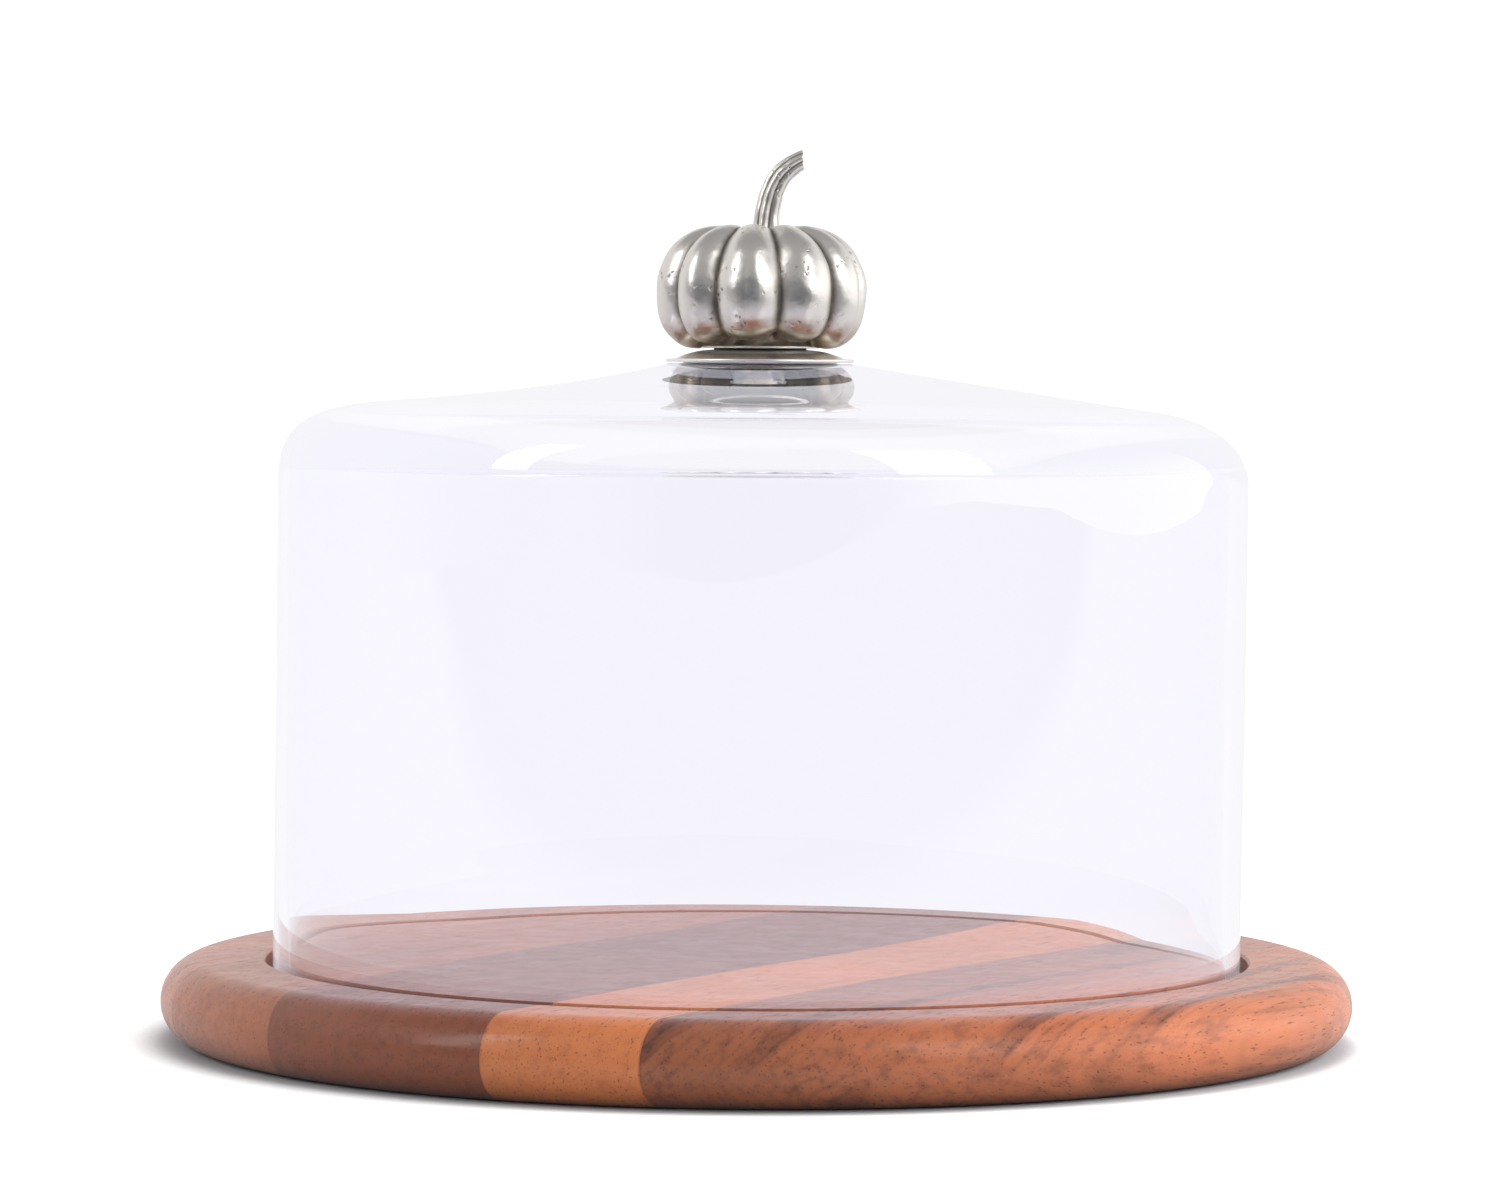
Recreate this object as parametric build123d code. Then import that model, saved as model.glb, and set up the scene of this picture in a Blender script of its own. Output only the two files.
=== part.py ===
from build123d import *
from math import cos, radians, sin
import os

# Cheese dome: a round board glued up from hardwood staves, a blown glass dome standing in its groove,
# and a pewter pumpkin finial screwed through the neck of the dome.
# Millimetres. Origin at the centre of the board's underside, +Z up, -Y towards the diner.

# Board
BOARD_DIAMETER = 355.6
BOARD_THICKNESS = 24.5
GROOVE_OUTER_RADIUS = 146.7
GROOVE_INNER_RADIUS = 139.6
GROOVE_DEPTH = 7.0
GROOVE_FLOOR_FILLET = 1.5
GROOVE_LIP_CHAMFER = 0.7
GRAIN_ANGLE = 60.0  # degrees from +X to the direction the staves run in
GLUE_LINES = (-121.0, -62.0, 15.0, 60.0)  # distances across the grain from the centre

# Glass dome
GLASS_RADIUS = 144.5
GLASS_WALL = 4.4
SHOULDER_Z = 166.0  # the wall is straight below this height
OUTER_CROWN_START = (103.0, 190.9)  # radius and height where the outer shoulder meets the rising crown
INNER_CROWN_START = (97.0, 185.9)  # the same inside, where the crown is flatter and so thickens to the neck
NECK_LAND_RADIUS = 27.0
NECK_TOP_Z = 202.0
NECK_THICKNESS = 13.4
NECK_BOTTOM_Z = NECK_TOP_Z - NECK_THICKNESS
NECK_HOLE_RADIUS = 6.2

# Fixings through the neck
GASKET_THICKNESS = 1.0
UPPER_GASKET_RADIUS = 23.0
LOWER_GASKET_RADIUS = 21.5
BUSH_RADIUS = 6.0
BUSH_END_GAP = 0.1
RUNNING_CLEARANCE = 0.05
SCREW_RADIUS = 3.0
SCREW_LENGTH = 35.0
SCREW_TIP_CHAMFER = 0.6
SCREW_HEAD_RADIUS = 5.9
SCREW_SLOT_WIDTH = 1.6
SCREW_SLOT_DEPTH = 1.4
CLEARANCE_HOLE_RADIUS = 3.3
LOWER_ESCUTCHEON_RADIUS = 29.0
LOWER_ESCUTCHEON_THICKNESS = 3.2
LOWER_ESCUTCHEON_EDGE_ROUND = 1.0
LOWER_ESCUTCHEON_TOP_Z = NECK_BOTTOM_Z - GASKET_THICKNESS
LOWER_ESCUTCHEON_BOTTOM_Z = LOWER_ESCUTCHEON_TOP_Z - LOWER_ESCUTCHEON_THICKNESS
TOP_ESCUTCHEON_RADIUS = 28.2
TOP_ESCUTCHEON_RIM_ROUND = 0.7
TOP_ESCUTCHEON_RIM_Z = 202.3
TOP_ESCUTCHEON_DOME_POINT = (21.9, 205.0)  # radius and height the domed face passes through
TOP_ESCUTCHEON_SEAT_RADIUS = 14.0
TOP_ESCUTCHEON_TOP_Z = 206.0
TOP_ESCUTCHEON_RECESS_MARGIN = 0.5  # the recess is this much wider than its gasket
SEAT_WASHER_RADIUS = 13.8
SEAT_WASHER_THICKNESS = 0.45

# Pumpkin finial
FOOT_RADIUS = 17.7
FOOT_EDGE_HEIGHT = 0.6
FOOT_WAIST_POINT = (14.9, 207.9)  # radius and height the hollow flare passes through
FOOT_NECK_RADIUS = 13.6
FOOT_NECK_HEIGHT = 3.2
SPIGOT_RADIUS = 12.5
SPIGOT_HEIGHT = 7.0
BOSS_RADIUS = 6.5
BOSS_HEIGHT = 17.5
THREAD_DEPTH = 15.0
BODY_BOTTOM_Z = 207.2
BODY_WIDEST_RADIUS = 31.5
BODY_WIDEST_Z = 223.0
BODY_TOP_Z = 242.8
VALLEY_SHARE = 0.885  # radius in the valleys over radius on the crests
SECTIONS_PER_CURVE = 6
WALL_AT_VALLEY = 3.2
CAVITY_FLOOR_Z = 211.0
CAVITY_FLOOR_MARGIN = 2.0  # the flat floor reaches this far outside the foot's spigot
CAVITY_FLOOR_REACH = 6.0  # how far the floor curve pulls on the side wall
CAVITY_ROOF_REACH = 4.0
OPENING_HEIGHT = 12.0  # of the cutter for the foot's spigot, centred on the underside
DIMPLE_RADIUS = 13.5
DIMPLE_FLOOR_RADIUS = 6.2
DIMPLE_FLOOR_Z = 239.6
DIMPLE_CUTTER_TOP_Z = 244.0
FRONT_VALLEYS = (-60.0, -28.5, 12.0, 49.5, 79.0)  # degrees from -Y, towards +X
BACK_LOBES = 7

# Stem
STEM_BASE_OFFSET = 1.6
STEM_RIDGES = 6
STEM_RIDGE_SHARE = 0.84  # radius between the ridges over radius on them


def revolved(outline):
    """Solid swept round the Z axis by a closed outline given as (radius, height)."""
    return revolve(Plane.XZ * outline, axis=Axis.Z)


def ring(inner_radius, outer_radius, bottom, top):
    """Flat ring between two heights."""
    height = top - bottom
    blank = Cylinder(outer_radius, height) - Cylinder(inner_radius, height)
    return Pos(0, 0, (bottom + top) / 2) * blank


def near(vertex, radius, height):
    """True for the outline corner at this radius and height."""
    return abs(vertex.X - radius) < 0.01 and abs(vertex.Y - height) < 0.01


def corners_at(outline, corners):
    """The outline's corners at the named (radius, height) places."""
    return [v for v in outline.vertices() if any(near(v, *corner) for corner in corners)]


def board_blank():
    """The whole board: a bullnosed disc with the groove for the glass turned in its top."""
    flat_radius = (BOARD_DIAMETER - BOARD_THICKNESS) / 2
    mid = BOARD_THICKNESS / 2
    floor = BOARD_THICKNESS - GROOVE_DEPTH
    outline = make_face(
        Line((0, 0), (flat_radius, 0))
        + ThreePointArc((flat_radius, 0), (flat_radius + mid, mid), (flat_radius, BOARD_THICKNESS))
        + Polyline(
            (flat_radius, BOARD_THICKNESS),
            (GROOVE_OUTER_RADIUS, BOARD_THICKNESS),
            (GROOVE_OUTER_RADIUS, floor),
            (GROOVE_INNER_RADIUS, floor),
            (GROOVE_INNER_RADIUS, BOARD_THICKNESS),
            (0, BOARD_THICKNESS),
            (0, 0),
        )
    )
    walls = (GROOVE_OUTER_RADIUS, GROOVE_INNER_RADIUS)
    outline = fillet(corners_at(outline, [(r, floor) for r in walls]), GROOVE_FLOOR_FILLET)
    outline = chamfer(corners_at(outline, [(r, BOARD_THICKNESS) for r in walls]), GROOVE_LIP_CHAMFER)
    return revolved(outline)


def board_staves():
    """The board cut along its glue lines, as {node: solid}, from the left stave to the right one."""
    blank = board_blank()
    edge = BOARD_DIAMETER
    lines = (-edge, *GLUE_LINES, edge)
    staves = {}
    for number, (low, high) in enumerate(zip(lines, lines[1:]), start=1):
        slab = Pos((low + high) / 2, 0, BOARD_THICKNESS / 2) * Box(high - low, 2 * edge, 2 * BOARD_THICKNESS)
        along_grain = Rot(0, 0, GRAIN_ANGLE - 90)
        staves[f"board_stave_{number}"] = blank & (along_grain * slab)
    return staves


def glass_dome():
    """Straight-walled dome with a tight shoulder, a gently rising crown and a thick, drilled neck."""
    rim_z = BOARD_THICKNESS - GROOVE_DEPTH
    inner_radius = GLASS_RADIUS - GLASS_WALL
    rim_centre_z = rim_z + GLASS_WALL / 2
    outer_crown = Bezier(
        (GLASS_RADIUS, SHOULDER_Z),
        (GLASS_RADIUS, 182.9),
        (133.0, 187.5),
        OUTER_CROWN_START,
    ) + Bezier(
        OUTER_CROWN_START,
        (78.0, 193.7),
        (51.0, 197.1),
        (NECK_LAND_RADIUS, NECK_TOP_Z),
    )
    inner_crown = Bezier(
        (NECK_LAND_RADIUS, NECK_BOTTOM_Z),
        (52.0, NECK_BOTTOM_Z),
        (75.0, 188.1),
        INNER_CROWN_START,
    ) + Bezier(
        INNER_CROWN_START,
        (131.0, 182.5),
        (inner_radius, 177.0),
        (inner_radius, SHOULDER_Z),
    )
    outline = make_face(
        Line((GLASS_RADIUS, rim_centre_z), (GLASS_RADIUS, SHOULDER_Z))
        + outer_crown
        + Polyline(
            (NECK_LAND_RADIUS, NECK_TOP_Z),
            (NECK_HOLE_RADIUS, NECK_TOP_Z),
            (NECK_HOLE_RADIUS, NECK_BOTTOM_Z),
            (NECK_LAND_RADIUS, NECK_BOTTOM_Z),
        )
        + inner_crown
        + Line((inner_radius, SHOULDER_Z), (inner_radius, rim_centre_z))
        + ThreePointArc(
            (inner_radius, rim_centre_z),
            (GLASS_RADIUS - GLASS_WALL / 2, rim_z),
            (GLASS_RADIUS, rim_centre_z),
        )
    )
    return revolved(outline)


def upper_gasket():
    """Clear soft ring that beds the top escutcheon on the glass."""
    return ring(NECK_HOLE_RADIUS, UPPER_GASKET_RADIUS, NECK_TOP_Z, NECK_TOP_Z + GASKET_THICKNESS)


def lower_gasket():
    """Dark soft ring between the glass and the lower escutcheon."""
    return ring(NECK_HOLE_RADIUS, LOWER_GASKET_RADIUS, LOWER_ESCUTCHEON_TOP_Z, NECK_BOTTOM_Z)


def centring_bush():
    """Sleeve that keeps the screw clear of the drilled glass; the screw turns in its bore."""
    bottom = LOWER_ESCUTCHEON_TOP_Z + BUSH_END_GAP
    top = NECK_TOP_Z + GASKET_THICKNESS - BUSH_END_GAP
    return ring(SCREW_RADIUS + RUNNING_CLEARANCE, BUSH_RADIUS, bottom, top)


def top_escutcheon():
    """Low domed plate under the finial, recessed below for its gasket."""
    rim = TOP_ESCUTCHEON_RIM_ROUND
    rim_centre = (TOP_ESCUTCHEON_RADIUS - rim, TOP_ESCUTCHEON_RIM_Z + rim)
    recess_z = NECK_TOP_Z + GASKET_THICKNESS
    recess_radius = UPPER_GASKET_RADIUS + TOP_ESCUTCHEON_RECESS_MARGIN
    outline = make_face(
        ThreePointArc(
            (rim_centre[0], TOP_ESCUTCHEON_RIM_Z),
            (TOP_ESCUTCHEON_RADIUS, rim_centre[1]),
            (rim_centre[0], rim_centre[1] + rim),
        )
        + ThreePointArc(
            (rim_centre[0], rim_centre[1] + rim),
            TOP_ESCUTCHEON_DOME_POINT,
            (TOP_ESCUTCHEON_SEAT_RADIUS, TOP_ESCUTCHEON_TOP_Z),
        )
        + Polyline(
            (TOP_ESCUTCHEON_SEAT_RADIUS, TOP_ESCUTCHEON_TOP_Z),
            (CLEARANCE_HOLE_RADIUS, TOP_ESCUTCHEON_TOP_Z),
            (CLEARANCE_HOLE_RADIUS, recess_z),
            (recess_radius, recess_z),
            (recess_radius, TOP_ESCUTCHEON_RIM_Z),
            (rim_centre[0], TOP_ESCUTCHEON_RIM_Z),
        )
    )
    return revolved(outline)


def lower_escutcheon():
    """Flat plate under the neck, countersunk for the screw head."""
    bottom = LOWER_ESCUTCHEON_BOTTOM_Z
    plate = ring(CLEARANCE_HOLE_RADIUS, LOWER_ESCUTCHEON_RADIUS, bottom, LOWER_ESCUTCHEON_TOP_Z)
    outer_edges = plate.edges().filter_by(GeomType.CIRCLE).sort_by(SortBy.RADIUS)[-2:]
    plate = fillet(outer_edges, LOWER_ESCUTCHEON_EDGE_ROUND)
    mouth_radius = SCREW_HEAD_RADIUS + 2 * RUNNING_CLEARANCE
    sink_depth = mouth_radius - CLEARANCE_HOLE_RADIUS
    sink = Cone(mouth_radius, CLEARANCE_HOLE_RADIUS, sink_depth)
    return plate - Pos(0, 0, bottom + sink_depth / 2) * sink


def clamp_screw():
    """Slotted countersunk screw, driven up from inside the dome into the finial's foot."""
    bottom = LOWER_ESCUTCHEON_BOTTOM_Z
    head_height = SCREW_HEAD_RADIUS - SCREW_RADIUS
    head = Pos(0, 0, bottom + head_height / 2) * Cone(SCREW_HEAD_RADIUS, SCREW_RADIUS, head_height)
    shank = Pos(0, 0, bottom + SCREW_LENGTH / 2) * Cylinder(SCREW_RADIUS, SCREW_LENGTH)
    shank = chamfer(shank.edges().sort_by(Axis.Z)[-1], SCREW_TIP_CHAMFER)
    slot = Pos(0, 0, bottom) * Box(2 * SCREW_HEAD_RADIUS, SCREW_SLOT_WIDTH, 2 * SCREW_SLOT_DEPTH)
    return head + shank - slot


def seat_washer():
    """Thin dark washer that beds the finial on the top escutcheon."""
    top = TOP_ESCUTCHEON_TOP_Z + SEAT_WASHER_THICKNESS
    return ring(CLEARANCE_HOLE_RADIUS, SEAT_WASHER_RADIUS, TOP_ESCUTCHEON_TOP_Z, top)


def pumpkin_foot():
    """Turned foot that closes the hollow pumpkin, with a threaded boss for the screw."""
    bottom = TOP_ESCUTCHEON_TOP_Z + SEAT_WASHER_THICKNESS
    edge_top = bottom + FOOT_EDGE_HEIGHT
    neck_z = bottom + FOOT_NECK_HEIGHT
    outline = make_face(
        Polyline(
            (SCREW_RADIUS, bottom + THREAD_DEPTH),
            (SCREW_RADIUS, bottom),
            (FOOT_RADIUS, bottom),
            (FOOT_RADIUS, edge_top),
        )
        + ThreePointArc((FOOT_RADIUS, edge_top), FOOT_WAIST_POINT, (FOOT_NECK_RADIUS, neck_z))
        + Polyline(
            (FOOT_NECK_RADIUS, neck_z),
            (SPIGOT_RADIUS, neck_z),
            (SPIGOT_RADIUS, bottom + SPIGOT_HEIGHT),
            (BOSS_RADIUS, bottom + SPIGOT_HEIGHT),
            (BOSS_RADIUS, bottom + BOSS_HEIGHT),
            (0, bottom + BOSS_HEIGHT),
            (0, bottom + THREAD_DEPTH),
            (SCREW_RADIUS, bottom + THREAD_DEPTH),
        )
    )
    return revolved(outline)


def valley_angles():
    """Directions of the valleys between lobes: hand-shaped in front, evenly spaced round the back."""
    back_span = 360 + FRONT_VALLEYS[0] - FRONT_VALLEYS[-1]
    step = back_span / BACK_LOBES
    back = [FRONT_VALLEYS[-1] + step * k for k in range(1, BACK_LOBES)]
    return [*FRONT_VALLEYS, *back]


def around(angle, radius):
    """Point at a radius, in the direction measured from -Y towards +X."""
    return (radius * sin(radians(angle)), -radius * cos(radians(angle)))


def lobed_outline(crest_radius, height):
    """Horizontal section of the pumpkin: one arc for each lobe."""
    valleys = valley_angles()
    valley_radius = crest_radius * VALLEY_SHARE
    arcs = []
    for start, end in zip(valleys, [*valleys[1:], valleys[0] + 360]):
        ends = (around(start, valley_radius), around(end, valley_radius))
        arcs.append(ThreePointArc(ends[0], around((start + end) / 2, crest_radius), ends[1]))
    return Pos(0, 0, height) * make_face(Curve() + arcs)


def crest_line():
    """Outer edge of a lobe seen from the side, as (radius, height) from bottom to top."""
    widest = (BODY_WIDEST_RADIUS, BODY_WIDEST_Z)
    lower = Bezier((21.0, BODY_BOTTOM_Z), (28.5, 208.0), (BODY_WIDEST_RADIUS, 214.5), widest)
    upper = Bezier(widest, (BODY_WIDEST_RADIUS, 231.5), (27.5, 240.5), (15.5, BODY_TOP_Z))
    return lower, upper


def pumpkin_body():
    """Hollow casting with irregular lobes, a dimple on top and an opening for the foot below."""
    lower, upper = crest_line()
    shares = [k / SECTIONS_PER_CURVE for k in range(SECTIONS_PER_CURVE)]
    points = [lower @ share for share in shares] + [upper @ share for share in (*shares, 1)]
    body = loft([lobed_outline(p.X, p.Y) for p in points])
    dimple = make_face(
        Bezier(
            (DIMPLE_RADIUS, BODY_TOP_Z),
            (10.5, BODY_TOP_Z),
            (8.5, DIMPLE_FLOOR_Z),
            (DIMPLE_FLOOR_RADIUS, DIMPLE_FLOOR_Z),
        )
        + Polyline(
            (DIMPLE_FLOOR_RADIUS, DIMPLE_FLOOR_Z),
            (0, DIMPLE_FLOOR_Z),
            (0, DIMPLE_CUTTER_TOP_Z),
            (DIMPLE_RADIUS, DIMPLE_CUTTER_TOP_Z),
            (DIMPLE_RADIUS, BODY_TOP_Z),
        )
    )
    cavity_radius = BODY_WIDEST_RADIUS * VALLEY_SHARE - WALL_AT_VALLEY
    roof_z = DIMPLE_FLOOR_Z - WALL_AT_VALLEY
    floor_radius = SPIGOT_RADIUS + CAVITY_FLOOR_MARGIN
    cavity = make_face(
        Polyline((0, CAVITY_FLOOR_Z), (floor_radius, CAVITY_FLOOR_Z))
        + Bezier(
            (floor_radius, CAVITY_FLOOR_Z),
            (cavity_radius, CAVITY_FLOOR_Z),
            (cavity_radius, BODY_WIDEST_Z - CAVITY_FLOOR_REACH),
            (cavity_radius, BODY_WIDEST_Z),
        )
        + Bezier(
            (cavity_radius, BODY_WIDEST_Z),
            (cavity_radius, roof_z - CAVITY_ROOF_REACH),
            (cavity_radius - CAVITY_ROOF_REACH, roof_z),
            (cavity_radius / 2, roof_z),
        )
        + Polyline((cavity_radius / 2, roof_z), (0, roof_z), (0, CAVITY_FLOOR_Z))
    )
    opening = Pos(0, 0, BODY_BOTTOM_Z) * Cylinder(SPIGOT_RADIUS, OPENING_HEIGHT)
    return body - revolved(dimple) - revolved(cavity) - opening - pumpkin_foot()


def stem_outline(radius):
    """Cross-section of the stem: rounded ridges with narrow valleys between them."""
    step = 360 / STEM_RIDGES
    low = radius * STEM_RIDGE_SHARE
    arcs = []
    for k in range(STEM_RIDGES):
        start = k * step
        arcs.append(
            ThreePointArc(around(start, low), around(start + step / 2, radius), around(start + step, low))
        )
    return make_face(Curve() + arcs)


def pumpkin_stem():
    """Ridged stem, thickest at its root in the dimple, bending over towards +X."""
    path = Bezier(
        (STEM_BASE_OFFSET, 0, DIMPLE_FLOOR_Z),
        (STEM_BASE_OFFSET, 0, 252.5),
        (4.6, 0, 259.4),
        (12.7, 0, 262.6),
    )
    stations = ((0.0, 4.2), (0.15, 3.8), (0.4, 3.5), (0.7, 3.25), (1.0, 2.8))  # share of length, radius
    sections = []
    for share, radius in stations:
        place = Plane(origin=path @ share, x_dir=(0, 1, 0), z_dir=path % share)
        sections.append(place * stem_outline(radius))
    return loft(sections)


def main():
    parts = {
        **board_staves(),
        "glass_dome": glass_dome(),
        "upper_gasket": upper_gasket(),
        "centring_bush": centring_bush(),
        "lower_gasket": lower_gasket(),
        "top_escutcheon": top_escutcheon(),
        "lower_escutcheon": lower_escutcheon(),
        "clamp_screw": clamp_screw(),
        "seat_washer": seat_washer(),
        "pumpkin_foot": pumpkin_foot(),
        "pumpkin_body": pumpkin_body(),
        "pumpkin_stem": pumpkin_stem(),
    }
    os.makedirs("parts", exist_ok=True)
    for node, solid in parts.items():
        export_step(solid, f"parts/{node}.step")


main()
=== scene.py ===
from collections import namedtuple
from math import atan2, cos, exp, pi, radians, sin, sqrt

import bpy
import numpy as np
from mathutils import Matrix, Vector, noise


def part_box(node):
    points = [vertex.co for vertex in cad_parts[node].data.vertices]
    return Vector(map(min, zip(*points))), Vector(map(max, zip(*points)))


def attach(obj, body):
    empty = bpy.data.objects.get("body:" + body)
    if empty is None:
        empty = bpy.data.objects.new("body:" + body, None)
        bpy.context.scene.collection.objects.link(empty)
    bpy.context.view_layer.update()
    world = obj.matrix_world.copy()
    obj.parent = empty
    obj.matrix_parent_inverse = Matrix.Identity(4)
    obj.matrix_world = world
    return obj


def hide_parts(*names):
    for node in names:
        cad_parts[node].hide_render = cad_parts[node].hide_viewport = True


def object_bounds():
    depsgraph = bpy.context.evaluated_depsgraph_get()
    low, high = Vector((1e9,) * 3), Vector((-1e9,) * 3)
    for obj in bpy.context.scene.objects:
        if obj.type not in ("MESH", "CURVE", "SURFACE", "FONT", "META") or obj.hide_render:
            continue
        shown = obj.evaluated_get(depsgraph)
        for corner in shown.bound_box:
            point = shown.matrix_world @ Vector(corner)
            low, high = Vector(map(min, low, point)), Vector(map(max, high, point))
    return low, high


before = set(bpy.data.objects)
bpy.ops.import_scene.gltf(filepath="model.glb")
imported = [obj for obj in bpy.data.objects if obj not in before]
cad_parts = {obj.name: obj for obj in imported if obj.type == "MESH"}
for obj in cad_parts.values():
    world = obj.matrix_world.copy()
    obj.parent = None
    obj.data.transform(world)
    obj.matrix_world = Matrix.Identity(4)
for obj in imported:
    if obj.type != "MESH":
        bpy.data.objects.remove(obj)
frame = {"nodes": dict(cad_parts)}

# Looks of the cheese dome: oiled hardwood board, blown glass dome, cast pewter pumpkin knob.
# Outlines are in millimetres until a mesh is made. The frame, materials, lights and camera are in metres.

MM = 0.001
ON_AXIS = 1e-6  # a point closer to the axis than this is a pole
cad_low, cad_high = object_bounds()


# ---------------------------------------------------------------- helpers: shapes

def box_mm(node):
    """Lowest and highest corner of a CAD node in millimetres."""
    low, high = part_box(node)
    return low / MM, high / MM


def bezier(p0, p1, p2, p3, count):
    """Points along a cubic curve, both ends included."""
    t = np.linspace(0.0, 1.0, count)[:, None]
    a, b, c, d = (np.array(p, float) for p in (p0, p1, p2, p3))
    return (1 - t) ** 3 * a + 3 * t * (1 - t) ** 2 * b + 3 * t * t * (1 - t) * c + t ** 3 * d


def arc(centre, radius, start, end, count):
    """Points along a circular arc, angles in degrees."""
    angles = np.radians(np.linspace(start, end, count))
    return np.stack((centre[0] + radius * np.cos(angles), centre[1] + radius * np.sin(angles)), 1)


def join(*runs):
    """One outline from several runs of points, with repeated end points dropped."""
    same_point = 1e-4
    points = [np.array(runs[0][0], float)]
    for run in runs:
        for point in np.array(run, float):
            if np.linalg.norm(point - points[-1]) > same_point:
                points.append(point)
    return np.array(points)


def skin(name, rings, closed_along):
    """Mesh through rings of points in millimetres. A ring with one point is a pole."""
    vertices, starts = [], []
    for ring in rings:
        starts.append(len(vertices))
        vertices.extend(tuple(float(c) * MM for c in p) for p in ring)
    faces = []
    pairs = list(zip(range(len(rings)), range(1, len(rings))))
    if closed_along:
        pairs.append((len(rings) - 1, 0))
    for a, b in pairs:
        na, nb = len(rings[a]), len(rings[b])
        sa, sb = starts[a], starts[b]
        count = max(na, nb)
        for k in range(count):
            n = (k + 1) % count
            if na == 1:
                faces.append((sa, sb + n, sb + k))
            elif nb == 1:
                faces.append((sa + k, sa + n, sb))
            else:
                faces.append((sa + k, sa + n, sb + n, sb + k))
    mesh = bpy.data.meshes.new(name)
    mesh.from_pydata(vertices, [], faces)
    mesh.validate()
    mesh.update()
    mesh.shade_smooth()
    made = bpy.data.objects.new(name, mesh)
    bpy.context.scene.collection.objects.link(made)
    return made


def turned(name, outline, segments, crease):
    """Mesh turned round the Z axis from (radius, height) points, crisp where it bends more than crease."""
    turns = np.linspace(0.0, 2 * pi, segments, endpoint=False)
    rings = []
    for radius, height in outline:
        if radius < ON_AXIS:
            rings.append([(0.0, 0.0, height)])
            continue
        rings.append([(radius * cos(a), radius * sin(a), height) for a in turns])
    made = skin(name, rings, False)
    mark_sharp(made, crease)
    return made


def fade(value, low, high):
    """Share of the way from low to high, held at 0 and 1."""
    return min(1.0, max(0.0, (value - low) / (high - low)))


def mark_sharp(made, degrees_limit):
    """Keeps edges sharper than the limit crisp while the rest shades smooth."""
    made.data.set_sharp_from_angle(angle=radians(degrees_limit))


def point_attribute(made, name, values):
    """Stores one number for each vertex, for the materials to read."""
    attribute = made.data.attributes.new(name, "FLOAT", "POINT")
    attribute.data.foreach_set("value", np.array(values, np.float32))


# ---------------------------------------------------------------- helpers: materials

class Nodes:
    """A node tree with short ways to add nodes."""

    def __init__(self, tree):
        self.tree = tree
        self.tree.nodes.clear()

    def add(self, kind, settings=None, **inputs):
        """New node; an input's underscores stand for spaces, and a socket given as a value is linked."""
        made = self.tree.nodes.new("ShaderNode" + kind)
        for key, value in (settings or {}).items():
            setattr(made, key, value)
        for key, value in inputs.items():
            self.feed(made.inputs[key.replace("_", " ")], value)
        return made

    def feed(self, socket, value):
        """Links a socket to another, or sets its value."""
        if isinstance(value, bpy.types.NodeSocket):
            self.tree.links.new(value, socket)
        else:
            socket.default_value = value

    def math(self, operation, *values):
        """Result of a maths node on numbers or sockets."""
        made = self.add("Math", {"operation": operation})
        for socket, value in zip(made.inputs, values):
            self.feed(socket, value)
        return made.outputs[0]

    def vector_math(self, operation, *values):
        """Result of a vector maths node."""
        made = self.add("VectorMath", {"operation": operation})
        for socket, value in zip(made.inputs, values):
            self.feed(socket, value)
        return made.outputs["Value" if operation in ("LENGTH", "DOT_PRODUCT") else "Vector"]

    def remap(self, value, low, high, to_low=0.0, to_high=1.0, smooth=True):
        """Value moved from one range to another, held at the ends."""
        kind = "SMOOTHSTEP" if smooth else "LINEAR"
        made = self.add("MapRange", {"interpolation_type": kind}, Value=value)
        for key, number in (("From Min", low), ("From Max", high), ("To Min", to_low), ("To Max", to_high)):
            made.inputs[key].default_value = number
        return made.outputs["Result"]

    def mix(self, share, first, second, blend="MIX"):
        """Colour between two colours."""
        made = self.add("Mix", {"data_type": "RGBA", "blend_type": blend})
        self.feed(made.inputs[0], share)
        self.feed(made.inputs[6], first)
        self.feed(made.inputs[7], second)
        return made.outputs[2]

    def noise(self, place, scale, detail=3.0, roughness=0.5, distortion=0.0):
        """Fractal noise, 0 to 1, at a place in metres."""
        made = self.add(
            "TexNoise", Vector=place, Scale=scale, Detail=detail, Roughness=roughness, Distortion=distortion
        )
        return made.outputs["Fac"]

    def bump(self, height, distance, strength=1.0, normal=None):
        """Normal bent by a height; distance is in metres."""
        made = self.add("Bump", Strength=strength, Distance=distance, Height=height)
        if normal is not None:
            self.feed(made.inputs["Normal"], normal)
        return made.outputs["Normal"]


class Shader(Nodes):
    """A material under construction."""

    def __init__(self, name):
        self.material = bpy.data.materials.new(name)
        self.material.use_nodes = True
        super().__init__(self.material.node_tree)

    def finish(self, surface):
        """Ends the tree and hands back the material."""
        self.add("OutputMaterial", Surface=surface)
        return self.material


def rgb(red, green, blue):
    """Colour as a shader wants it, from 0-255 display values."""
    def linear(value):
        share = value / 255
        return share / 12.92 if share <= 0.04045 else ((share + 0.055) / 1.055) ** 2.4
    return (linear(red), linear(green), linear(blue), 1.0)


def dress(made, material):
    """Gives a piece its only material."""
    made.data.materials.clear()
    made.data.materials.append(material)


# ---------------------------------------------------------------- board

GRAIN = radians(60.0)  # the staves run this way in the XY plane
ACROSS = Vector((sin(GRAIN), -cos(GRAIN), 0.0))
RING_SPACING = 0.021  # metres, as are the lengths below
FINE_RING_SPACING = 0.0033
RING_WANDER = 0.022  # how far slow noise bends the growth rings
PAINTED_LIGHT_SPAN = (0.075, 0.135)  # across the board, where painted light brightens the outermost stave, the side the light from the right falls on
GROOVE_SHADE_EDGE = (0.0003, 0.0004)  # outside and inside of a groove wall, where its painted shade sets in
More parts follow.
